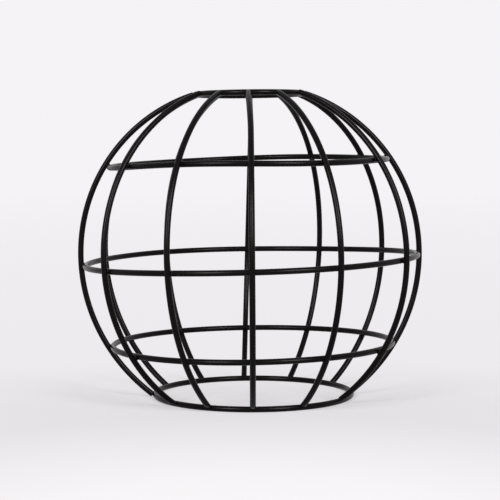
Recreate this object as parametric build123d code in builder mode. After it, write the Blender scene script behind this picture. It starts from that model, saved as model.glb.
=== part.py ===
from build123d import *
import os
from collections import namedtuple
from math import acos, atan2, cos, degrees, radians, sin, sqrt

os.makedirs("parts", exist_ok=True)

# A globe-shaped lampshade of round iron wire: twelve bent ribs stand round an axis and are
# welded to five rings. Sizes are in millimetres and degrees. The axis is Z, the shade stands
# on Z = 0, and its front faces -Y.

# Wire and welds
wire_diameter = 4.2  # a 4 mm bar and its coat
weld_depth = 0.5  # how far two wires sink into each other where they are welded

# The globe, and the rings at its two ends, to the middle of the wire
globe_radius = 124.0
bottom_ring_radius = 71.5
top_ring_radius = 39.0
top_ring_inset = 1.0  # how far the top ring lies within the globe of the ribs

# The three rings inside the ribs: degrees above or below the globe's widest line
upper_ring_latitude = 34.5
middle_ring_latitude = -1.6
lower_ring_latitude = -32.6

# The rings were set by eye: degrees that one stands higher at its right side or at its front
top_ring_right_up = 0.5
top_ring_front_up = 0.75
upper_ring_right_up = 1.5
upper_ring_front_up = 0.25
middle_ring_right_up = 1.5
middle_ring_front_up = 0.5
lower_ring_right_up = 0.75
lower_ring_front_up = 0.25
bottom_ring_to_right = 1.25  # how far the bottom ring sits to the right of the axis

# Where each rib stands: degrees round the axis from the front towards +X, degrees that it leans in
# the same direction, and how far the middle of its bend lies off the globe's middle that way
rib_places = (
    (0.25, -0.25, 0.0),
    (28.75, 0.25, 0.0),
    (60.0, 0.75, 0.0),
    (95.5, 2.0, 0.0),
    (128.25, -0.5, -5.75),
    (154.0, -1.75, 0.0),
    (180.0, -1.75, 2.75),
    (212.5, 0.75, 0.0),
    (243.5, 1.5, 0.0),
    (270.5, -1.25, 0.0),
    (304.75, -3.5, 1.5),
    (333.25, -2.25, 0.0),
)

# Sizes that follow
wire_radius = wire_diameter / 2
inner_radius = globe_radius - wire_diameter + weld_depth
top_radius = globe_radius - top_ring_inset
bottom_ring_latitude = -degrees(acos(bottom_ring_radius / globe_radius))
top_ring_latitude = degrees(acos(top_ring_radius / top_radius))
globe_height = wire_radius - globe_radius * sin(radians(bottom_ring_latitude))

# The circle along the middle of a wire: its plane, centred on the circle, and its radius
Bend = namedtuple("Bend", "plane radius")


def ring_bend(globe, latitude, right_up=0.0, front_up=0.0, to_right=0.0):
    """The bend of a ring on a globe about the shade's middle, tipped about that middle."""
    level = Plane((to_right, 0, globe_height)).rotated((-front_up, -right_up, 0))
    return Bend(level.offset(globe * sin(radians(latitude))), globe * cos(radians(latitude)))


def rib_bend(bearing, lean, set_off):
    """The bend of a rib, which lies on the globe even if its plane misses the globe's middle."""
    outward = Vector(sin(radians(bearing)), -cos(radians(bearing)), 0)
    sideways = Vector(cos(radians(bearing)), sin(radians(bearing)), 0)
    upward = Vector(0, 0, cos(radians(lean))) + sideways * sin(radians(lean))
    across = upward.cross(outward)
    middle = Vector(0, 0, globe_height) + across * set_off
    return Bend(Plane(middle, outward, -across), sqrt(globe_radius**2 - set_off**2))


def nearest(bend, point):
    """The point of a bend's full circle that is nearest to another point."""
    away = point - bend.plane.origin
    flat = away - bend.plane.z_dir * away.dot(bend.plane.z_dir)
    return bend.plane.origin + flat.normalized() * bend.radius


def end_of_rib(rib, ring):
    """The angle at which a rib passes a ring, and the angle before it at which the rib stops."""
    on_rib = rib.plane.origin + rib.plane.x_dir * rib.radius
    for _ in range(6):
        on_ring = nearest(ring, on_rib)
        on_rib = nearest(rib, on_ring)
    way = on_rib - rib.plane.origin
    passing = degrees(atan2(way.dot(rib.plane.y_dir), way.dot(rib.plane.x_dir)))
    apart = min((on_rib - on_ring).length, wire_radius)
    return passing, degrees((sqrt(wire_radius**2 - apart**2) - weld_depth) / rib.radius)


def make_ring(bend):
    """A closed ring of wire."""
    section = Plane(bend.plane.origin, -bend.plane.x_dir, bend.plane.y_dir)
    with BuildPart() as ring:
        with BuildSketch(section):
            with Locations((-bend.radius, 0)):
                Circle(wire_radius)
        revolve(axis=Axis(bend.plane.origin, bend.plane.z_dir))
    return ring


def make_rib(bend, bottom, top, rings):
    """A rib from the bottom ring to the top ring, cut square and notched where it meets a ring."""
    passing_bottom, stop_above = end_of_rib(bend, bottom)
    passing_top, stop_below = end_of_rib(bend, top)
    first_angle = passing_bottom + stop_above
    last_angle = passing_top - stop_below
    bend_axis = Axis(bend.plane.origin, bend.plane.z_dir)
    first_direction = bend.plane.x_dir.rotate(Axis((0, 0, 0), bend.plane.z_dir), first_angle)
    section = Plane(bend.plane.origin, first_direction, first_direction.cross(bend.plane.z_dir))
    with BuildPart() as rib:
        with BuildSketch(section):
            with Locations((bend.radius, 0)):
                Circle(wire_radius)
        revolve(axis=bend_axis, revolution_arc=last_angle - first_angle)
        for ring in rings:
            add(ring.part, mode=Mode.SUBTRACT)
    return rib


# The five rings
ring_bends = {
    "top_ring": ring_bend(top_radius, top_ring_latitude, top_ring_right_up, top_ring_front_up),
    "upper_ring": ring_bend(
        inner_radius, upper_ring_latitude, upper_ring_right_up, upper_ring_front_up
    ),
    "middle_ring": ring_bend(
        inner_radius, middle_ring_latitude, middle_ring_right_up, middle_ring_front_up
    ),
    "lower_ring": ring_bend(
        inner_radius, lower_ring_latitude, lower_ring_right_up, lower_ring_front_up
    ),
    "bottom_ring": ring_bend(globe_radius, bottom_ring_latitude, to_right=bottom_ring_to_right),
}
rings = {name: make_ring(bend) for name, bend in ring_bends.items()}
for name, ring in rings.items():
    ring.part.label = name
    export_step(ring.part, f"parts/{name}.step")

# The twelve ribs, numbered from the front
for number, place in enumerate(rib_places, start=1):
    rib = make_rib(
        rib_bend(*place), ring_bends["bottom_ring"], ring_bends["top_ring"], rings.values()
    )
    rib.part.label = f"rib_{number:02d}"
    export_step(rib.part, f"parts/rib_{number:02d}.step")
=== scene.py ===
# %% [markdown]
# # A globe lampshade of black iron wire
# Twelve ribs stand round an axis and are welded to five rings, and the whole shade is coated in
# satin black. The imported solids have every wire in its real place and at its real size, so they
# are loaded first and never moved. All that follows is measured from them: if a size of the part
# changes, the pictures change with it.

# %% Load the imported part
from collections import namedtuple
from math import acos, atan2, cos, pi, radians, sin, sqrt, tau

import bpy
import numpy as np
from mathutils import Matrix, Vector


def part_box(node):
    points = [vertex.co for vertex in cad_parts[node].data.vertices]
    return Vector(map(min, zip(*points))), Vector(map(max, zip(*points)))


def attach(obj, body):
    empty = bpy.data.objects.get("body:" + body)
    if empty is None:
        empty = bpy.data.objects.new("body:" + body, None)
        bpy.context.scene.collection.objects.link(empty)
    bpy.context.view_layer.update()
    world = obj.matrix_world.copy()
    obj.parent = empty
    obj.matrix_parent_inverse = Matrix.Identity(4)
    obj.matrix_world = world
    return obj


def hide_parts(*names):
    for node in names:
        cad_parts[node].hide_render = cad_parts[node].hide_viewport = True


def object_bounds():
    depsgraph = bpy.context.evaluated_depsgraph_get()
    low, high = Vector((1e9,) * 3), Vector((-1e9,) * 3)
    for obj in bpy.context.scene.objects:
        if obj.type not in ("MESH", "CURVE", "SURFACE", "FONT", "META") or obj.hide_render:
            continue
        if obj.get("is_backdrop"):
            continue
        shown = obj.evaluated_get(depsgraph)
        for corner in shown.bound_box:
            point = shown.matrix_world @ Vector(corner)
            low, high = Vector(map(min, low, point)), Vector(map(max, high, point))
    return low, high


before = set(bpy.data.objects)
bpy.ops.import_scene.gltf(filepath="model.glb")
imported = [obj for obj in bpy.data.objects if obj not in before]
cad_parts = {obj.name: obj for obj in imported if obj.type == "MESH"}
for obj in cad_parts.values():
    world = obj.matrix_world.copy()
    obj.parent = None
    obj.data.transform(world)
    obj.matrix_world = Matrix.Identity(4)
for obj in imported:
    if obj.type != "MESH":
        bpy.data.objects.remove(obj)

cad_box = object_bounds()
rib_names = sorted(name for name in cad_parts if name.startswith("rib_"))
ring_names = sorted(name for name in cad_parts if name.endswith("_ring"))
print(f"{len(rib_names)} ribs and {len(ring_names)} rings, {cad_box[1].z * 1000:.1f} mm high")

# %% [markdown]
# ## How each wire is bent
# A rib or a ring of the real shade is a length of round bar, bent to a part of one circle. Those
# circles could be typed in a second time, but then two files would have to agree. Measuring is
# safer: the triangles of a wire's solid are weighed by their area, the direction in which they
# spread least is the axis of the bend, and the best circle through them is the wire's middle.

# %% Weigh the triangles of a wire
def read_rows(items, what, width):
    """One property of every vertex or triangle of a mesh, as rows of numbers."""
    numbers = np.zeros(len(items) * width)
    items.foreach_get(what, numbers)
    return numbers.reshape(-1, width)


def weigh_triangles(name):
    """A wire's points, the middles of its triangles, and the share of its area that each has."""
    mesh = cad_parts[name].data
    mesh.calc_loop_triangles()
    points = read_rows(mesh.vertices, "co", 3)
    corners = points[read_rows(mesh.loop_triangles, "vertices", 3).astype(int)]
    first_side = corners[:, 1] - corners[:, 0]
    second_side = corners[:, 2] - corners[:, 0]
    areas = np.linalg.norm(np.cross(first_side, second_side), axis=1)
    return points, corners.mean(axis=1), areas / areas.sum()


print(f"{rib_names[0]} has {len(weigh_triangles(rib_names[0])[1])} triangles to weigh")

# %% Fit a circle to a wire
fitting_rounds = 6


def fit_circle(places, weights):
    """The middle and the radius of the circle that comes nearest to weighed places in a plane."""
    share = np.sqrt(weights)

    def solve(slopes, wanted):
        """The numbers that come nearest to what is wanted, where heavy places count for more."""
        rows = np.column_stack((slopes, np.ones(len(slopes))))
        return np.linalg.lstsq(rows * share[:, None], wanted * share, rcond=None)[0]

    first = solve(2 * places, (places**2).sum(axis=1))
    middle, radius = first[:2], sqrt(first[2] + first[:2] @ first[:2])
    for _ in range(fitting_rounds):
        away = places - middle
        far = np.linalg.norm(away, axis=1)
        change = solve(away / far[:, None], far - radius)
        middle, radius = middle + change[:2], radius + change[2]
    return middle, radius


print(f"a first circle is bettered {fitting_rounds} times")

# %% Measure the bends
Bend = namedtuple("Bend", "centre axis start radius span")
ring_balance = 0.1  # a wire that balances this near its centre, in radii, is a closed ring


def unit(direction):
    """The same direction, one long."""
    return direction / np.linalg.norm(direction)


def measure_bend(name):
    """The circle that a wire of the frame is bent to, and the part of it that the wire takes up."""
    points, middles, weights = weigh_triangles(name)
    balance = weights @ middles
    spread = middles - balance
    directions = np.linalg.eigh((spread.T * weights) @ spread)[1]
    axis, flat = directions[:, 0], directions[:, 1:]
    flat_centre, radius = fit_circle(spread @ flat, weights)
    centre = balance + flat @ flat_centre
    if np.linalg.norm(balance - centre) < radius * ring_balance:
        axis = axis * np.sign(axis[2])
        front = np.array((0.0, -1.0, 0.0))
        return Bend(centre, axis, unit(front - axis * (front @ axis)), radius, tau)
    halfway = unit(balance - centre)
    axis = axis * np.sign(np.cross(axis, halfway)[2])
    upward = np.cross(axis, halfway)
    angles = np.arctan2((points - centre) @ upward, (points - centre) @ halfway)
    start = halfway * cos(angles.min()) + upward * sin(angles.min())
    return Bend(centre, axis, start, radius, float(angles.max() - angles.min()))


bends = {name: measure_bend(name) for name in rib_names + ring_names}
for name, bend in bends.items():
    print(f"{name}: bent to {bend.radius * 1000:.2f} mm, {np.degrees(bend.span):.1f} degrees of it")

# %% Measure the wire
facet_room = 0.00002  # keeps the round wire inside the faceted mesh of the solids
ring_low, ring_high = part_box("bottom_ring")
wire_radius = (ring_high.z - ring_low.z) / 2 - facet_room
print(f"wire {wire_radius * 2000:.2f} mm thick")

# %% [markdown]
# ## Wires that are not quite true
# The solids have flat rings and ribs bent to exact circles. The real ones were bent and welded by
# hand, and it shows: the left and right of the upper ring lie lower than its front and back, the
# ribs stand out at the foot and near the upper ring and lie in elsewhere, and the front and back
# ribs lean to the left at their tops. All of that is under two millimetres, and it is added here
# as a few waves along each wire. The same formulas serve plain numbers now and node trees later.
# A ring that is pushed up or down on a globe also has to shrink or grow, or it would leave the
# ribs.

# %% Formulas for a wire out of true
Pull = namedtuple("Pull", "level front right saddle twist ripple buckle shrink bow sway")
not_pulled = Pull(*[0.0] * len(Pull._fields))
sway_from = 0.8  # the share of a rib's length at which its top begins to lean
bow_bend = 4.6  # how soon a rib's bow turns back on the way to its ends


def lift_of(pull, front, right, along):
    """How far a wire lies off its plane, where it points this much to front and right."""
    even = front * front - right * right
    odd = 2.0 * front * right
    lift = pull.level + pull.front * front + pull.right * right
    lift += pull.saddle * even + pull.twist * odd
    lift += pull.ripple * (odd * front + even * right)
    lift += pull.buckle * 2.0 * even * odd
    past = (along - sway_from) / (1.0 - sway_from)
    near_top = (past + abs(past)) / 2.0
    return lift + pull.sway * near_top * near_top * (3.0 - 2.0 * near_top)


def growth_of(pull, lift, along):
    """How far a wire lies outside its circle, at this share of its length."""
    from_middle = along * 2.0 - 1.0
    bow = pull.bow * from_middle * (3.0 - bow_bend * from_middle * from_middle)
    return bow - lift * pull.shrink


print(f"a wire is pulled in {len(Pull._fields)} ways:", ", ".join(Pull._fields))

# %% Pull the rings out of flat
globe_middle = np.mean([bends[rib].centre for rib in rib_names], axis=0)


def pull_ring(name, **waves):
    """The pull of a ring, from the heights of its waves in millimetres."""
    height = (bends[name].centre - globe_middle) @ bends[name].axis
    shrink = height / bends[name].radius
    in_metres = {wave: size / 1000 for wave, size in waves.items()}
    return not_pulled._replace(shrink=shrink, **in_metres)


pulls = {
    "upper_ring": pull_ring(
        "upper_ring",
        level=-0.45,
        front=-0.4,
        right=-0.1,
        saddle=0.9,
        twist=-0.4,
        ripple=-0.3,
        buckle=-0.3,
    ),
    "middle_ring": pull_ring("middle_ring", right=0.2, twist=0.5, ripple=-0.45),
    "lower_ring": pull_ring("lower_ring", level=0.05, front=0.1, saddle=-0.15, twist=0.2),
}
for name, pull in pulls.items():
    at_left = lift_of(pull, 0.0, -1.0, 0.0) * 1000
    at_front = lift_of(pull, 1.0, 0.0, 0.0) * 1000
    print(f"{name}: {at_left:.2f} mm above its plane at the left, {at_front:.2f} mm at the front")

# %% Bow the ribs
rib_bows = (0.4, 0.42, 0.1, 0.2, 0.42, 0.42, 0.4, 0.1, 0.25, 0.42, 0.2, 0.42)  # millimetres
top_sway = 0.0013
sways = {"rib_01": top_sway, "rib_07": -top_sway}
for name, bow in zip(rib_names, rib_bows):
    pulls[name] = not_pulled._replace(bow=bow / 1000, sway=sways.get(name, 0.0))
    at_foot, at_top = (growth_of(pulls[name], 0.0, end) * 1000 for end in (0.0, 1.0))
    print(f"{name}: {at_foot:.2f} mm outside its circle at the foot, {at_top:.2f} mm at the top")

# %% [markdown]
# ## Formulas as nodes
# Geometry Nodes can follow any rule, but a long formula made of single Math nodes is hard to
# read. These helpers let the formula be written as ordinary arithmetic: each plus, times or root
# puts one Math node in the tree and links it up. The same helpers serve the materials.

# %% Numbers that make Math nodes
class Field:
    """A number in a node tree. Arithmetic on it puts Math nodes in that tree."""

    def __init__(self, tree, socket):
        self.tree = tree
        self.socket = socket

    def math(self, operation, *values):
        """The result of one Math node whose inputs are these values."""
        made = self.tree.nodes.new("ShaderNodeMath")
        made.operation = operation
        for place, value in enumerate(values):
            plug(self.tree, value, made.inputs[place])
        return Field(self.tree, made.outputs[0])

    def __add__(self, other):
        return self.math("ADD", self, other)

    def __radd__(self, other):
        return self.math("ADD", other, self)

    def __sub__(self, other):
        return self.math("SUBTRACT", self, other)

    def __rsub__(self, other):
        return self.math("SUBTRACT", other, self)

    def __mul__(self, other):
        return self.math("MULTIPLY", self, other)

    def __rmul__(self, other):
        return self.math("MULTIPLY", other, self)

    def __truediv__(self, other):
        return self.math("DIVIDE", self, other)

    def __abs__(self):
        return self.math("ABSOLUTE", self)

    def __lt__(self, other):
        return self.math("LESS_THAN", self, other)

    def at_least(self, other):
        """The larger of two numbers."""
        return self.math("MAXIMUM", self, other)

    def root(self):
        """The square root, taken as nought below nought."""
        return self.math("SQRT", self.at_least(0.0))

    def sine(self):
        """The sine of an angle."""
        return self.math("SINE", self)

    def cosine(self):
        """The cosine of an angle."""
        return self.math("COSINE", self)


print("arithmetic on a", Field.__name__, "makes Math nodes")

# %% Nodes with named inputs
def plug(tree, value, socket):
    """Links a value that the tree works out, or sets one that is known."""
    if isinstance(value, Field):
        tree.links.new(value.socket, socket)
    elif isinstance(value, bpy.types.NodeSocket):
        tree.links.new(value, socket)
    else:
        socket.default_value = value


def add_node(tree, kind, inputs=None, **settings):
    """Adds a node with these settings, and fills the inputs that are named."""
    made = tree.nodes.new(kind)
    for setting, value in settings.items():
        setattr(made, setting, value)
    for name, value in (inputs or {}).items():
        plug(tree, value, next(s for s in made.inputs if s.name == name and s.enabled))
    return made


def live_output(made):
    """The output that a node's settings leave in use."""
    return next(s for s in made.outputs if s.enabled)


print("nodes can be added and their inputs filled by name")

# %% The beginning and end of a rule
def new_rule(name, sizes):
    """An empty Geometry Nodes tree with named inputs, and those inputs."""
    tree = bpy.data.node_groups.new(name, "GeometryNodeTree")
    kinds = {"Geometry": "Geometry", **sizes}
    for label, kind in kinds.items():
        tree.interface.new_socket(label, in_out="INPUT", socket_type="NodeSocket" + kind)
    tree.interface.new_socket("Geometry", in_out="OUTPUT", socket_type="NodeSocketGeometry")
    sockets = tree.nodes.new("NodeGroupInput").outputs
    given = {label: sockets[label] for label in kinds}
    for label, kind in kinds.items():
        if kind in ("Float", "Int"):
            given[label] = Field(tree, sockets[label])
    return tree, given


def end_rule(tree, geometry, coat):
    """Ends a tree: smooth faces, no instances left, and the coat put on."""
    smooth = add_node(tree, "GeometryNodeSetShadeSmooth", {"Geometry": geometry})
    real = add_node(tree, "GeometryNodeRealizeInstances", {"Geometry": smooth.outputs[0]})
    coat_inputs = {"Geometry": real.outputs[0], "Material": coat}
    coated = add_node(tree, "GeometryNodeSetMaterial", coat_inputs)
    add_node(tree, "NodeGroupOutput", {"Geometry": coated.outputs[0]})
    print(f"{tree.name}: the rule has {len(tree.nodes)} nodes")


print("rules can be begun and ended")

# %% From a rule to a plain mesh
same_spot = 0.000003  # points nearer to each other than this are joined
edge_steps = 3
sharp_corner = radians(60)


def make_piece(name, rule, sizes, mesh=None, edge=0.0):
    """Makes a piece by a rule, rounds its sharp edges if asked, and keeps it as a plain mesh."""
    piece = bpy.data.objects.new(name, mesh or bpy.data.meshes.new(name))
    bpy.context.scene.collection.objects.link(piece)
    modifier = piece.modifiers.new("rule", "NODES")
    modifier.node_group = rule
    for socket in rule.interface.items_tree:
        if socket.in_out == "INPUT" and socket.name in sizes:
            modifier[socket.identifier] = sizes[socket.name]
    if edge:
        rounding = piece.modifiers.new("edge", "BEVEL")
        rounding.width = edge
        rounding.segments = edge_steps
        rounding.limit_method = "ANGLE"
        rounding.angle_limit = sharp_corner
        piece.modifiers.new("join", "WELD").merge_threshold = same_spot
    evaluated = piece.evaluated_get(bpy.context.evaluated_depsgraph_get())
    plain = bpy.data.meshes.new_from_object(evaluated)
    piece.modifiers.clear()
    piece.data = plain
    plain.name = name
    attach(piece, "root")
    return piece


print(f"sharp edges are rounded in {edge_steps} steps")

# %% [markdown]
# ## The satin black coat
# The iron is sprayed or powder coated: near black with a breath of brown, neither dull nor shiny.
# Such a coat is never quite even. It has a fine orange peel, its gloss wanders a little from
# place to place, and it is duller on the rough welds. One flat colour would look like plastic, so
# three noises of different grain drive its tone, its roughness and its bump.

# %% Colours that follow a number
def add_ramp(tree, share, stops):
    """A colour that follows a number from nought to one, by stops of a place and a colour each."""
    made = add_node(tree, "ShaderNodeValToRGB", {"Fac": share})
    elements = made.color_ramp.elements
    for end, (place, colour) in zip((elements[0], elements[1]), (stops[0], stops[-1])):
        end.position = place
        end.color = (*colour, 1.0)
    for place, colour in stops[1:-1]:
        elements.new(place).color = (*colour, 1.0)
    return made.outputs[0]


black_tones = ((0.3, (0.0010, 0.0009, 0.0008)), (0.72, (0.0024, 0.0020, 0.0017)))
print(f"the coat wanders between {len(black_tones)} near blacks")

# %% Make the coat
cloud_size = 0.035
patch_size = 0.006
peel_size = 0.0011


def make_coat(name, gloss, peel):
    """A black coat on iron, with its roughness range and the height of its orange peel."""
    coat = bpy.data.materials.new(name)
    coat.use_nodes = True
    tree = coat.node_tree
    shader = tree.nodes["Principled BSDF"]
    shader.inputs["Specular IOR Level"].default_value = 0.075
    shader.inputs["IOR"].default_value = 1.5
    shader.inputs["Specular Tint"].default_value = (1.0, 0.94, 0.95, 1.0)
    where = add_node(tree, "ShaderNodeTexCoord").outputs["Object"]

    def grain(size, detail):
        """A noise whose patches are about this size, in metres."""
        grain_inputs = {"Vector": where, "Scale": 1 / size, "Detail": detail, "Roughness": 0.55}
        return add_node(tree, "ShaderNodeTexNoise", grain_inputs).outputs[0]

    tone = add_ramp(tree, grain(cloud_size, 3.0), black_tones)
    plug(tree, tone, shader.inputs["Base Color"])
    patches = Field(tree, grain(patch_size, 4.0))
    plug(tree, gloss[0] + patches * (gloss[1] - gloss[0]), shader.inputs["Roughness"])
    bump_inputs = {"Height": grain(peel_size, 2.0), "Strength": 0.35, "Distance": peel}
    bump = add_node(tree, "ShaderNodeBump", bump_inputs)
    plug(tree, bump.outputs[0], shader.inputs["Normal"])
    return coat


wire_coat = make_coat("satin_black_coat", gloss=(0.18, 0.32), peel=0.00002)
weld_coat = make_coat("black_coat_on_welds", gloss=(0.3, 0.5), peel=0.00006)
print("coats:", wire_coat.name, "and", weld_coat.name)

# %% [markdown]
# ## Ribs and rings
# A wire could be a torus, a curve with a bevel or an extruded circle. Here one rule makes all
# seventeen: an arc or a full circle is drawn flat, wavers sideways by a hair as wire bent by hand
# does, gets a round section, and is turned into its measured place. The two ends of a rib were
# cut square, and the coat has rounded their edges, so a small bevel follows the rule. The front
# ribs were trimmed level at the foot as well, so the bottom ring runs on in full view below them.

# %% Begin the rule for a bent wire
wire_inputs = {
    "Bend Radius": "Float",
    "Wire Radius": "Float",
    "Span": "Float",
    "Closed": "Bool",
    "Steps": "Int",
    "Sides": "Int",
    "Waver": "Float",
    "Seed": "Float",
    **{label: "Float" for label in Pull._fields},
    "Place": "Vector",
    "Turn": "Rotation",
    "Foot Level": "Float",
    "Coat": "Material",
}
wire_rule, wire = new_rule("bent wire", wire_inputs)
print(f"a bent wire has {len(wire_inputs)} named inputs")

# %% Draw the line of the wire
circle_inputs = {"Resolution": wire["Steps"], "Radius": wire["Bend Radius"]}
arc_inputs = {**circle_inputs, "Start Angle": 0.0, "Sweep Angle": wire["Span"]}
arc = add_node(wire_rule, "GeometryNodeCurveArc", arc_inputs)
circle = add_node(wire_rule, "GeometryNodeCurvePrimitiveCircle", circle_inputs)
line = add_node(
    wire_rule,
    "GeometryNodeSwitch",
    {"Switch": wire["Closed"], "False": arc.outputs[0], "True": circle.outputs[0]},
    input_type="GEOMETRY",
)
print(f"the line of a wire takes {len(wire_rule.nodes)} nodes")

# %% Pull the line out of true
waver_grain = 14.0  # about how many wavers a metre of wire has
flat_place = add_node(wire_rule, "GeometryNodeInputPosition").outputs[0]
wander = add_node(
    wire_rule,
    "ShaderNodeTexNoise",
    {"Vector": flat_place, "W": wire["Seed"], "Scale": waver_grain},
    noise_dimensions="4D",
)
along_line = Field(wire_rule, add_node(wire_rule, "GeometryNodeSplineParameter").outputs["Factor"])
waver = (Field(wire_rule, wander.outputs[0]) - 0.5) * 2.0 * wire["Waver"] * (along_line * pi).sine()
flat_axes = add_node(wire_rule, "ShaderNodeSeparateXYZ", {"Vector": flat_place})
to_front = Field(wire_rule, flat_axes.outputs["X"]) / wire["Bend Radius"]
to_right = Field(wire_rule, flat_axes.outputs["Y"]) / wire["Bend Radius"]
line_pull = Pull(*(wire[label] for label in Pull._fields))
line_lift = lift_of(line_pull, to_front, to_right, along_line)
line_growth = growth_of(line_pull, line_lift, along_line)
shift = add_node(
    wire_rule,
    "ShaderNodeCombineXYZ",
    {"X": line_growth * to_front, "Y": line_growth * to_right, "Z": waver + line_lift},
)
pull_inputs = {"Geometry": line.outputs[0], "Offset": shift.outputs[0]}
pulled_line = add_node(wire_rule, "GeometryNodeSetPosition", pull_inputs)
print(f"with the formulas for its pull, {len(wire_rule.nodes)} nodes")

# %% Make a bar of it and trim its foot
section_inputs = {"Resolution": wire["Sides"], "Radius": wire["Wire Radius"]}
section = add_node(wire_rule, "GeometryNodeCurvePrimitiveCircle", section_inputs)
bar = add_node(
    wire_rule,
    "GeometryNodeCurveToMesh",
    {"Curve": pulled_line.outputs[0], "Profile Curve": section.outputs[0], "Fill Caps": True},
)
placed = add_node(
    wire_rule,
    "GeometryNodeTransform",
    {"Geometry": bar.outputs[0], "Translation": wire["Place"], "Rotation": wire["Turn"]},
)
final_place = add_node(wire_rule, "GeometryNodeInputPosition").outputs[0]
final_axes = add_node(wire_rule, "ShaderNodeSeparateXYZ", {"Vector": final_place}).outputs
above_level = add_node(
    wire_rule,
    "ShaderNodeCombineXYZ",
    {
        "X": final_axes["X"],
        "Y": final_axes["Y"],
        "Z": Field(wire_rule, final_axes["Z"]).at_least(wire["Foot Level"]),
    },
)
trim_inputs = {"Geometry": placed.outputs[0], "Position": above_level.outputs[0]}
trimmed = add_node(wire_rule, "GeometryNodeSetPosition", trim_inputs)
end_rule(wire_rule, trimmed.outputs[0], wire["Coat"])

# %% Choose how the feet are trimmed
no_trim = -1.0  # a level below the floor, which takes nothing off
below_ring_top = {
    "rib_01": 0.0009,
    "rib_02": 0.0009,
    "rib_03": 0.0016,
    "rib_11": 0.0016,
    "rib_12": 0.0009,
}
foot_levels = {name: ring_high.z - depth for name, depth in below_ring_top.items()}
for name, level in foot_levels.items():
    print(f"{name} is trimmed {level * 1000:.2f} mm above the floor")

# %% Bend the seventeen wires
step_length = 0.003
section_sides = 28
cut_edge = 0.00035
hand_waver = 0.00012
smooth_up_to = radians(40)  # a bend between two faces that still looks round


def bend_wire(name, number):
    """The wire that stands for one rib or ring of the frame."""
    bend = bends[name]
    closed = name in ring_names
    columns = np.column_stack((bend.start, np.cross(bend.axis, bend.start), bend.axis))
    sizes = {
        "Bend Radius": bend.radius,
        "Wire Radius": wire_radius,
        "Span": bend.span,
        "Closed": closed,
        "Steps": int(bend.radius * bend.span / step_length),
        "Sides": section_sides,
        "Waver": 0.0 if closed else hand_waver,
        "Seed": float(number),
        **pulls.get(name, not_pulled)._asdict(),
        "Place": tuple(bend.centre),
        "Turn": tuple(Matrix(columns.tolist()).to_euler()),
        "Foot Level": foot_levels.get(name, no_trim),
        "Coat": wire_coat,
    }
    piece = make_piece(name + "_wire", wire_rule, sizes, edge=0.0 if closed else cut_edge)
    piece.data.set_sharp_from_angle(angle=smooth_up_to)
    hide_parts(name)
    return piece


wires = [bend_wire(name, number) for number, name in enumerate(rib_names + ring_names)]
print(f"{len(wires)} wires, {sum(len(piece.data.polygons) for piece in wires)} faces")

# %% [markdown]
# ## Where the wires are welded
# A rib meets each of the three middle rings from outside, and its two ends butt on the rings at
# the top and the bottom. Both kinds of joint lie where the middle lines of the two wires come
# nearest to each other. The meshes need not be searched for that place: stepping from one measured
# circle to the nearest point of the other, and back, finds it within a few steps.

# %% Find the joints
Joint = namedtuple("Joint", "rib ring on_rib on_ring outward upward sideways gap")
steps_to_joint = 8


def nearest_on(name, point):
    """The point of a wire's middle line that is nearest to another point."""
    bend, pull = bends[name], pulls.get(name, not_pulled)
    away = point - bend.centre
    out = unit(away - bend.axis * (away @ bend.axis))
    front, right = out @ bend.start, out @ np.cross(bend.axis, bend.start)
    along = np.arctan2(right, front) / bend.span
    lift = lift_of(pull, front, right, along)
    return bend.centre + out * (bend.radius + growth_of(pull, lift, along)) + bend.axis * lift


def find_joint(rib_name, ring_name):
    """Where a rib passes a ring, three directions square to each other there, and the gap."""
    rib, ring = bends[rib_name], bends[ring_name]
    halfway = rib.start * cos(rib.span / 2) + np.cross(rib.axis, rib.start) * sin(rib.span / 2)
    on_rib = rib.centre + halfway * rib.radius
    for _ in range(steps_to_joint):
        on_ring = nearest_on(ring_name, on_rib)
        on_rib = nearest_on(rib_name, on_ring)
    up_the_rib = np.cross(rib.axis, unit(on_rib - rib.centre))
    one_step = np.cross(ring.axis, unit(on_ring - ring.centre)) * wire_radius / 10
    round_the_ring = unit(nearest_on(ring_name, on_ring + one_step) - on_ring)
    outward = unit(np.cross(round_the_ring, up_the_rib))
    upward = unit(up_the_rib + np.cross(outward, round_the_ring))
    sideways = np.cross(upward, outward)
    gap = float((on_rib - on_ring) @ outward)
    return Joint(rib_name, ring_name, on_rib, on_ring, outward, upward, sideways, gap)


middle_rings = ("upper_ring", "middle_ring", "lower_ring")
crossings = [find_joint(rib, ring) for rib in rib_names for ring in middle_rings]
rib_ends = [find_joint(rib, ring) for rib in rib_names for ring in ("bottom_ring", "top_ring")]
print(f"{len(crossings)} crossings and {len(rib_ends)} rib ends to weld")
gaps = [joint.gap * 1000 for joint in crossings]
print(f"middle lines {min(gaps):.2f} to {max(gaps):.2f} mm apart where wires cross")

# %% Points that know their weld
def weld_points(name, facts):
    """A mesh of bare points, one for every weld, that carry what the weld needs to know."""
    mesh = bpy.data.meshes.new(name)
    mesh.from_pydata([fact["place"] for fact in facts], [], [])
    for label in facts[0]:
        values = [fact[label] for fact in facts]
        kind = "FLOAT" if np.ndim(values) == 1 else "FLOAT_VECTOR"
        attribute = mesh.attributes.new(label, kind, "POINT")
        attribute.data.foreach_set("value" if kind == "FLOAT" else "vector", np.ravel(values))
    return mesh


def crossing_facts(joint):
    """What the weld at a crossing needs to know."""
    return {
        "place": (joint.on_rib + joint.on_ring) / 2,
        "upward": joint.upward,
        "sideways": joint.sideways,
        "outward": joint.outward,
        "half_gap": joint.gap / 2,
    }


crossing_spots = weld_points("crossing_spots", [crossing_facts(joint) for joint in crossings])
print(f"{len(crossing_spots.vertices)} points mark the crossings")

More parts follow.
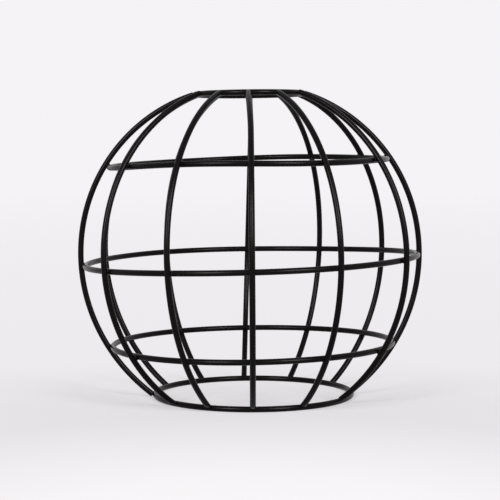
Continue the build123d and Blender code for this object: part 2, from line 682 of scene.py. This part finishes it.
# %% [markdown]
# ## Welds at the crossings
# Where two round wires are pressed together and welded, a little metal and later the coat fill
# the narrow groove round the spot. Its surface is what a small ball leaves when it rolls round
# the joint and touches both wires. For two bars that cross at right angles the ball's path has an
# exact formula, so no blob has to be placed by eye: a grid is bent onto that surface at every
# crossing, with a ball that differs from weld to weld and along each weld.

# %% Grids for the welds
def read_name(tree, name, kind="FLOAT"):
    """A named attribute of the geometry, as a field."""
    made = add_node(tree, "GeometryNodeInputNamedAttribute", {"Name": name}, data_type=kind)
    return Field(tree, live_output(made)) if kind == "FLOAT" else live_output(made)


def keep_name(tree, geometry, name, value):
    """The geometry with one more named number on its points."""
    inputs = {"Geometry": geometry, "Name": name, "Value": value}
    return add_node(tree, "GeometryNodeStoreNamedAttribute", inputs, data_type="FLOAT").outputs[0]


def grids_on_points(tree, points, rows, columns):
    """One grid for every point. Its vertices know their weld's number, their share and column."""
    number = Field(tree, add_node(tree, "GeometryNodeInputIndex").outputs[0])
    numbered = keep_name(tree, points, "number", number)
    grid_inputs = {"Size X": 1.0, "Size Y": 1.0, "Vertices X": rows + 1, "Vertices Y": columns + 3}
    grid = add_node(tree, "GeometryNodeMeshGrid", grid_inputs)
    place = add_node(tree, "GeometryNodeInputPosition").outputs[0]
    corner = add_node(tree, "ShaderNodeSeparateXYZ", {"Vector": place})
    share = Field(tree, corner.outputs["X"]) + 0.5
    column = (Field(tree, corner.outputs["Y"]) + 0.5) * (columns + 2.0)
    known = keep_name(tree, grid.outputs[0], "share", share)
    known = keep_name(tree, known, "column", column)
    spread_inputs = {"Points": numbered, "Instance": known}
    spread = add_node(tree, "GeometryNodeInstanceOnPoints", spread_inputs)
    real = add_node(tree, "GeometryNodeRealizeInstances", {"Geometry": spread.outputs[0]})
    return real.outputs[0]


def uneven(tree, place, amount, weld_stride, grain):
    """A number near one that wanders along a weld and differs from weld to weld."""
    lumps = add_node(
        tree,
        "ShaderNodeTexNoise",
        {"Vector": place, "W": read_name(tree, "number") * weld_stride, "Scale": grain},
        noise_dimensions="4D",
    )
    return (Field(tree, lumps.outputs[0]) - 0.5) * 2.0 * amount + 1.0


print("every weld starts as a grid on its point")

# %% The surface that a rolling ball leaves
weld_seat = 0.00002  # how far the edge of a weld goes into the wire, so that no gap shows


def mix_towards(share, first, second):
    """A value on the way from one to another."""
    return first + (second - first) * share


def groove_surface(tree, columns, ball, centre, to_rib, to_ring, root):
    """The place of a vertex: on the ball between its two wires, or in the root of the groove."""
    column = read_name(tree, "column")
    on_ball = column < columns + 0.5
    in_root = (column < columns + 1.5) - on_ball
    share = column / columns * on_ball
    way = [mix_towards(share, a, b) for a, b in zip(to_rib, to_ring)]
    length = (way[0] * way[0] + way[1] * way[1] + way[2] * way[2]).root()
    surface = [c + ball * w / length for c, w in zip(centre, way)]
    return [mix_towards(in_root, s, r) for s, r in zip(surface, root)]


def set_on_axes(tree, geometry, local, axes):
    """Moves each vertex to its weld's place plus three distances along the weld's own axes."""
    place = read_name(tree, "place", "FLOAT_VECTOR")
    for distance, axis in zip(local, axes):
        scale_inputs = {"Vector": read_name(tree, axis, "FLOAT_VECTOR"), "Scale": distance}
        reach = add_node(tree, "ShaderNodeVectorMath", scale_inputs, operation="SCALE")
        total = tree.nodes.new("ShaderNodeVectorMath")
        plug(tree, place, total.inputs[0])
        plug(tree, reach.outputs[0], total.inputs[1])
        place = total.outputs[0]
    moved = add_node(tree, "GeometryNodeSetPosition", {"Geometry": geometry, "Position": place})
    join_inputs = {"Geometry": moved.outputs[0], "Distance": same_spot}
    return add_node(tree, "GeometryNodeMergeByDistance", join_inputs).outputs[0]


def roll_ball(tree, given, path, ball, seat, heights, root_share):
    """Where a vertex lies on its weld's axes, for a ball that rolls along a path.

    The middle lines of the rib and the ring lie at these two heights.
    """
    rib_height, ring_height = heights
    reach = given["Wire Radius"] + ball
    centre = path(reach)
    nought = 0.0 * reach
    to_rib = (nought, (0.0 - centre[1]) / reach, (rib_height - centre[2]) / reach)
    to_ring = ((0.0 - centre[0]) / reach, nought, (ring_height - centre[2]) / reach)
    groove = path(given["Wire Radius"])
    root = (groove[0] * root_share, groove[1] * root_share, groove[2])
    return groove_surface(tree, given["Across"], ball + seat, centre, to_rib, to_ring, root)


print(f"welds are seated {weld_seat * 1e6:.0f} micrometres deep")

# %% The rule for a crossing weld
crossing_inputs = {
    "Wire Radius": "Float",
    "Smallest Ball": "Float",
    "Largest Ball": "Float",
    "Unevenness": "Float",
    "Around": "Int",
    "Across": "Int",
    "Seed": "Int",
    "Coat": "Material",
}


def make_crossing_rule():
    """The Geometry Nodes tree that welds every crossing."""
    tree, given = new_rule("crossing weld", crossing_inputs)
    size_inputs = {
        "Min": given["Smallest Ball"],
        "Max": given["Largest Ball"],
        "Seed": given["Seed"],
    }
    size = add_node(tree, "FunctionNodeRandomValue", size_inputs, data_type="FLOAT")
    points = keep_name(tree, given["Geometry"], "ball", live_output(size))
    grids = grids_on_points(tree, points, given["Around"], given["Across"])
    turn = read_name(tree, "share") * tau
    around = add_node(tree, "ShaderNodeCombineXYZ", {"X": turn.cosine(), "Y": turn.sine()})
    lumps = uneven(tree, around.outputs[0], given["Unevenness"], weld_stride=7.3, grain=1.3)
    ball = read_name(tree, "ball") * lumps
    half_gap = read_name(tree, "half_gap")
    double = (turn * 2.0).cosine()

    def path(reach):
        """The middle of a ball that is this far from the middle lines of both wires."""
        room = reach * reach - half_gap * half_gap
        wave = (room * double * double / (half_gap * half_gap) + 1.0).root()
        out = 4.0 * room / (wave + 1.0)
        height = 0.0 - out * double / (4.0 * half_gap)
        return out.root() * turn.cosine(), out.root() * turn.sine(), height

    heights = (half_gap, 0.0 - half_gap)
    local = roll_ball(tree, given, path, ball, weld_seat, heights, root_share=0.9)
    welds = set_on_axes(tree, grids, local, ("upward", "sideways", "outward"))
    end_rule(tree, welds, given["Coat"])
    return tree


crossing_rule = make_crossing_rule()

# %% Weld the crossings
crossing_sizes = {
    "Wire Radius": wire_radius,
    "Smallest Ball": 0.00045,
    "Largest Ball": 0.0009,
    "Unevenness": 0.3,
    "Around": 36,
    "Across": 6,
    "Seed": 4,
    "Coat": weld_coat,
}
crossing_welds = make_piece("crossing_welds", crossing_rule, crossing_sizes, mesh=crossing_spots)
print(f"{len(crossings)} crossing welds, {len(crossing_welds.data.polygons)} faces")

# %% [markdown]
# ## Welds at the rib ends
# A rib's end is cut square and butts on the side of its ring, so the weld sits in the two corners
# to the left and the right of the rib. The same rolling ball shapes it: its middle keeps equally
# far from the rib and from the ring, and it shrinks to nothing where the corner runs out, which
# is sooner on the outer side of a trimmed foot. A welder's hand leaves one corner fuller than the
# other, and a few are plainly fuller.

# %% The rule for an end weld
end_inputs = {
    "Wire Radius": "Float",
    "Unevenness": "Float",
    "Along": "Int",
    "Across": "Int",
    "Coat": "Material",
}


def make_end_rule():
    """The Geometry Nodes tree that welds both corners of every rib end."""
    tree, given = new_rule("end weld", end_inputs)
    grids = grids_on_points(tree, given["Geometry"], given["Along"], given["Across"])
    way = read_name(tree, "share") * 2.0 - 1.0
    taper = 1.0 - way * way
    along = add_node(tree, "ShaderNodeCombineXYZ", {"X": way})
    lumps = uneven(tree, along.outputs[0], given["Unevenness"], weld_stride=5.1, grain=1.1)
    ball = read_name(tree, "ball") * taper * lumps
    step = read_name(tree, "step")
    angle = way * read_name(tree, "wrap_half") + read_name(tree, "wrap_middle")

    def path(reach):
        """The middle of a ball that is this far from the middle lines of the rib and the ring."""
        height = reach * angle.sine() + step / 2.0
        up = (reach * reach - height * height).root()
        beside = (reach * reach - (height - step) * (height - step)).root()
        return up, beside, height

    heights = (step, 0.0)
    root_share = 1.0 - taper * 0.12
    local = roll_ball(tree, given, path, ball, taper * weld_seat, heights, root_share)
    welds = set_on_axes(tree, grids, local, ("away", "beside", "outward"))
    end_rule(tree, welds, given["Coat"])
    return tree


end_weld_rule = make_end_rule()

# %% Find the corners at the rib ends
bead_draw = np.random.default_rng(11)
thinnest_bead = 0.0004
thickest_bead = 0.0009
full_beads = {
    ("rib_01", 1): 0.0022,
    ("rib_05", 1): 0.0012,
    ("rib_06", 1): 0.0011,
    ("rib_09", -1): 0.0012,
}
full_wrap = radians(44)  # how far a weld goes round the end of a rib


def outer_wrap(joint):
    """How far a weld goes round the outer side of a rib's end, before a trimmed rib runs out."""
    if joint.ring != "bottom_ring" or joint.rib not in foot_levels:
        return full_wrap
    above_ring = (foot_levels[joint.rib] - joint.on_ring[2]) / wire_radius
    return min(full_wrap, acos(above_ring) - atan2(-joint.outward[2], joint.upward[2]))


def corner_facts(joint, side):
    """What the weld in one corner of a rib's end needs to know."""
    at_foot = joint.ring == "bottom_ring"
    bead = bead_draw.uniform(thinnest_bead, thickest_bead)
    turn = side if at_foot else -side
    return {
        "place": joint.on_ring,
        "away": joint.upward if at_foot else -joint.upward,
        "beside": side * joint.sideways,
        "outward": turn * joint.outward,
        "ball": full_beads.get((joint.rib, side), bead) if at_foot else bead,
        "step": turn * joint.gap,
        "wrap_half": (full_wrap + outer_wrap(joint)) / 2,
        "wrap_middle": turn * (outer_wrap(joint) - full_wrap) / 2,
    }


corners = [corner_facts(joint, side) for joint in rib_ends for side in (-1, 1)]
beads = [corner["ball"] * 1000 for corner in corners]
print(f"{len(corners)} corners, with balls of {min(beads):.2f} to {max(beads):.2f} mm")

# %% Weld the rib ends
end_sizes = {
    "Wire Radius": wire_radius,
    "Unevenness": 0.35,
    "Along": 16,
    "Across": 6,
    "Coat": weld_coat,
}
end_corners = weld_points("end_corners", corners)
end_welds = make_piece("end_welds", end_weld_rule, end_sizes, mesh=end_corners)
print(f"{len(corners)} end welds, {len(end_welds.data.polygons)} faces")

# %% [markdown]
# ## Floor, light and air
# The shade stands on pale paper between two tall soft lamps, which stand to the left and the right
# of the camera and draw the long streaks on the wires. Light from all round fills the shadows. A
# floor that ends would draw a line behind the wires, so its paper turns into the colour of the
# backdrop a little way off. That colour has painted light and shade on the way: it is lightest in
# front, a painted shadow greys it round the foot, and it is lighter again behind it. That colour is
# what the camera and the gloss of the coat see, and it adds no light to the shade.

# %% Tell looks from light
def seen_directly(tree):
    """One where the camera, a reflection or a see-through ray looks, and nought for light."""
    path = add_node(tree, "ShaderNodeLightPath")
    rays = ("Is Camera Ray", "Is Glossy Ray", "Is Transmission Ray")
    camera_ray, glossy_ray, clear_ray = (Field(tree, path.outputs[ray]) for ray in rays)
    return camera_ray.at_least(glossy_ray).at_least(clear_ray)


def mix_shaders(tree, share, first, second, output):
    """Links a mix of two shaders to the output of a tree."""
    mixed = add_node(tree, "ShaderNodeMixShader", {"Fac": share})
    plug(tree, first.outputs[0], mixed.inputs[1])
    plug(tree, second.outputs[0], mixed.inputs[2])
    plug(tree, mixed.outputs[0], tree.nodes[output].inputs["Surface"])


backdrop = (0.91, 0.895, 0.915)
print("the backdrop's colour is", backdrop)

# %% Make the paper
paper_tones = ((0.0, (0.86, 0.84, 0.855)), (1.0, (0.88, 0.86, 0.875)))
fibre_grain = 60.0
paper = bpy.data.materials.new("pale_paper")
paper.use_nodes = True
paper_tree = paper.node_tree
paper_shader = paper_tree.nodes["Principled BSDF"]
paper_shader.inputs["Roughness"].default_value = 0.9
paper_shader.inputs["Specular IOR Level"].default_value = 0.1
on_paper = add_node(paper_tree, "ShaderNodeTexCoord").outputs["Object"]
fibre_inputs = {"Vector": on_paper, "Scale": fibre_grain, "Detail": 3.0}
fibres = add_node(paper_tree, "ShaderNodeTexNoise", fibre_inputs)
paper_tone = add_ramp(paper_tree, fibres.outputs[0], paper_tones)
plug(paper_tree, paper_tone, paper_shader.inputs["Base Color"])
print(f"{paper.name} has {len(paper_tree.nodes)} nodes so far")

# %% Let the paper turn into the backdrop, with painted light and shade
sweep_start = (0.0, -0.35, 0.0)
sweep_length = 4.0
# painted light and shade in the paper's glow: lighter in front, a painted shadow round the foot,
# lighter again behind
painted_sweep_tones = (
    (0.08 / sweep_length, (0.97, 0.945, 0.965)),
    (0.26 / sweep_length, (0.76, 0.735, 0.76)),
    (0.40 / sweep_length, (0.845, 0.825, 0.845)),
    (1.0, backdrop),
)
fade_range = {"From Min": 0.3, "From Max": 0.55, "To Min": 0.45}
far = add_node(paper_tree, "ShaderNodeVectorMath", operation="DISTANCE")
plug(paper_tree, on_paper, far.inputs[0])
plug(paper_tree, sweep_start, far.inputs[1])
how_far = far.outputs["Value"]
fade = add_node(
    paper_tree,
    "ShaderNodeMapRange",
    {"Value": how_far, **fade_range},
    interpolation_type="SMOOTHSTEP",
)
sweep_inputs = {"Value": how_far, "From Max": sweep_length}
sweep = add_node(paper_tree, "ShaderNodeMapRange", sweep_inputs)
painted_sweep_tone = add_ramp(paper_tree, sweep.outputs[0], painted_sweep_tones)
# the glow carries the painted light and shade, and shows only where the camera or a reflection
# looks
painted_paper_glow = add_node(paper_tree, "ShaderNodeEmission", {"Color": painted_sweep_tone})
painted_glow_share = Field(paper_tree, fade.outputs[0]) * seen_directly(paper_tree)
mix_shaders(paper_tree, painted_glow_share, paper_shader, painted_paper_glow, "Material Output")
print(f"the paper is all backdrop {fade_range['From Max']} m from where it starts")

# %% Lay the floor
floor_radius = 8.0
floor_sides = 64
floor_angles = [tau * side / floor_sides for side in range(floor_sides)]
floor_rim = [(floor_radius * cos(angle), floor_radius * sin(angle), 0.0) for angle in floor_angles]
floor_mesh = bpy.data.meshes.new("floor")
floor_mesh.from_pydata(floor_rim, [], [list(range(floor_sides))])
floor_mesh.materials.append(paper)
floor = bpy.data.objects.new("floor", floor_mesh)
bpy.context.scene.collection.objects.link(floor)
floor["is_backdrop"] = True
print(f"floor laid, {floor_radius * 2:.0f} m across")

# %% Fill the air with light
world = bpy.data.worlds.new("studio_air")
world.use_nodes = True
bpy.context.scene.world = world
air_tree = world.node_tree
fill = air_tree.nodes["Background"]
fill.inputs["Color"].default_value = (1.0, 0.99, 1.0, 1.0)
fill.inputs["Strength"].default_value = 0.17
seen_inputs = {"Color": (*backdrop, 1.0), "Strength": 1.0}
seen = add_node(air_tree, "ShaderNodeBackground", seen_inputs)
mix_shaders(air_tree, seen_directly(air_tree), fill, seen, "World Output")
print(f"air filled with light of strength {fill.inputs['Strength'].default_value:.2f}")

# %% Hang the lamps
shade_middle = (cad_box[0] + cad_box[1]) / 2
lamp_width = 0.9
lamp_height = 1.4


def hang_lamp(name, place, power):
    """A soft lamp that faces the middle of the shade."""
    lamp = bpy.data.lights.new(name, "AREA")
    lamp.shape = "RECTANGLE"
    lamp.size = lamp_width
    lamp.size_y = lamp_height
    lamp.energy = power
    made = bpy.data.objects.new(name, lamp)
    made.location = place
    made.rotation_euler = (shade_middle - made.location).to_track_quat("-Z", "Y").to_euler()
    bpy.context.scene.collection.objects.link(made)
    print(f"{name} hung, {(shade_middle - made.location).length:.2f} m away")


hang_lamp("left_lamp", (-1.34, -2.36, 1.39), power=73.0)
hang_lamp("right_lamp", (1.44, -2.30, 1.39), power=76.0)

# %% [markdown]
# ## The camera
# The camera stands a little above the middle of the shade and looks slightly down on it, from
# far enough away that the back rings show only just above the front ones. It is turned by a
# fraction of a degree, as a camera held by hand is.

# %% Set up the camera
view_distance = 1.2126
view_height = radians(4.264)
view_roll = radians(-0.197)
aim = Vector((-0.00085, 0.0, 0.10697))
picture_width = 500
focal_length = 1667.1  # in the same pixels as the picture's width
sensor_width = 36.0

camera = bpy.data.objects.new("camera", bpy.data.cameras.new("camera"))
camera.data.sensor_width = sensor_width
camera.data.lens = sensor_width * focal_length / picture_width
back = Vector((0.0, -cos(view_height), sin(view_height)))
level_right = Vector((1.0, 0.0, 0.0))
level_up = back.cross(level_right)
turned_right = level_right * cos(view_roll) + level_up * sin(view_roll)
turned_up = level_up * cos(view_roll) - level_right * sin(view_roll)
turned = Matrix((turned_right, turned_up, back)).transposed().to_4x4()
camera.matrix_world = Matrix.Translation(aim + back * view_distance) @ turned
bpy.context.scene.collection.objects.link(camera)
bpy.context.scene.camera = camera
bpy.context.scene.view_settings.view_transform = "Standard"
print(f"camera {view_distance * 1000:.0f} mm away, {camera.data.lens:.1f} mm lens")

# %% [markdown]
# ## Sizes, and the end
# The dressed shade has to stay inside the box of the solids. Both boxes are measured, and the last
# lines print how far inside the solids' box it stays along each axis.

# %% Compare the boxes and finish
seen_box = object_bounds()
for axis in range(3):
    low, high = seen_box[0][axis] - cad_box[0][axis], cad_box[1][axis] - seen_box[1][axis]
    print(f"axis {axis}: {low * 1e6:.0f} and {high * 1e6:.0f} micrometres inside the solids' box")
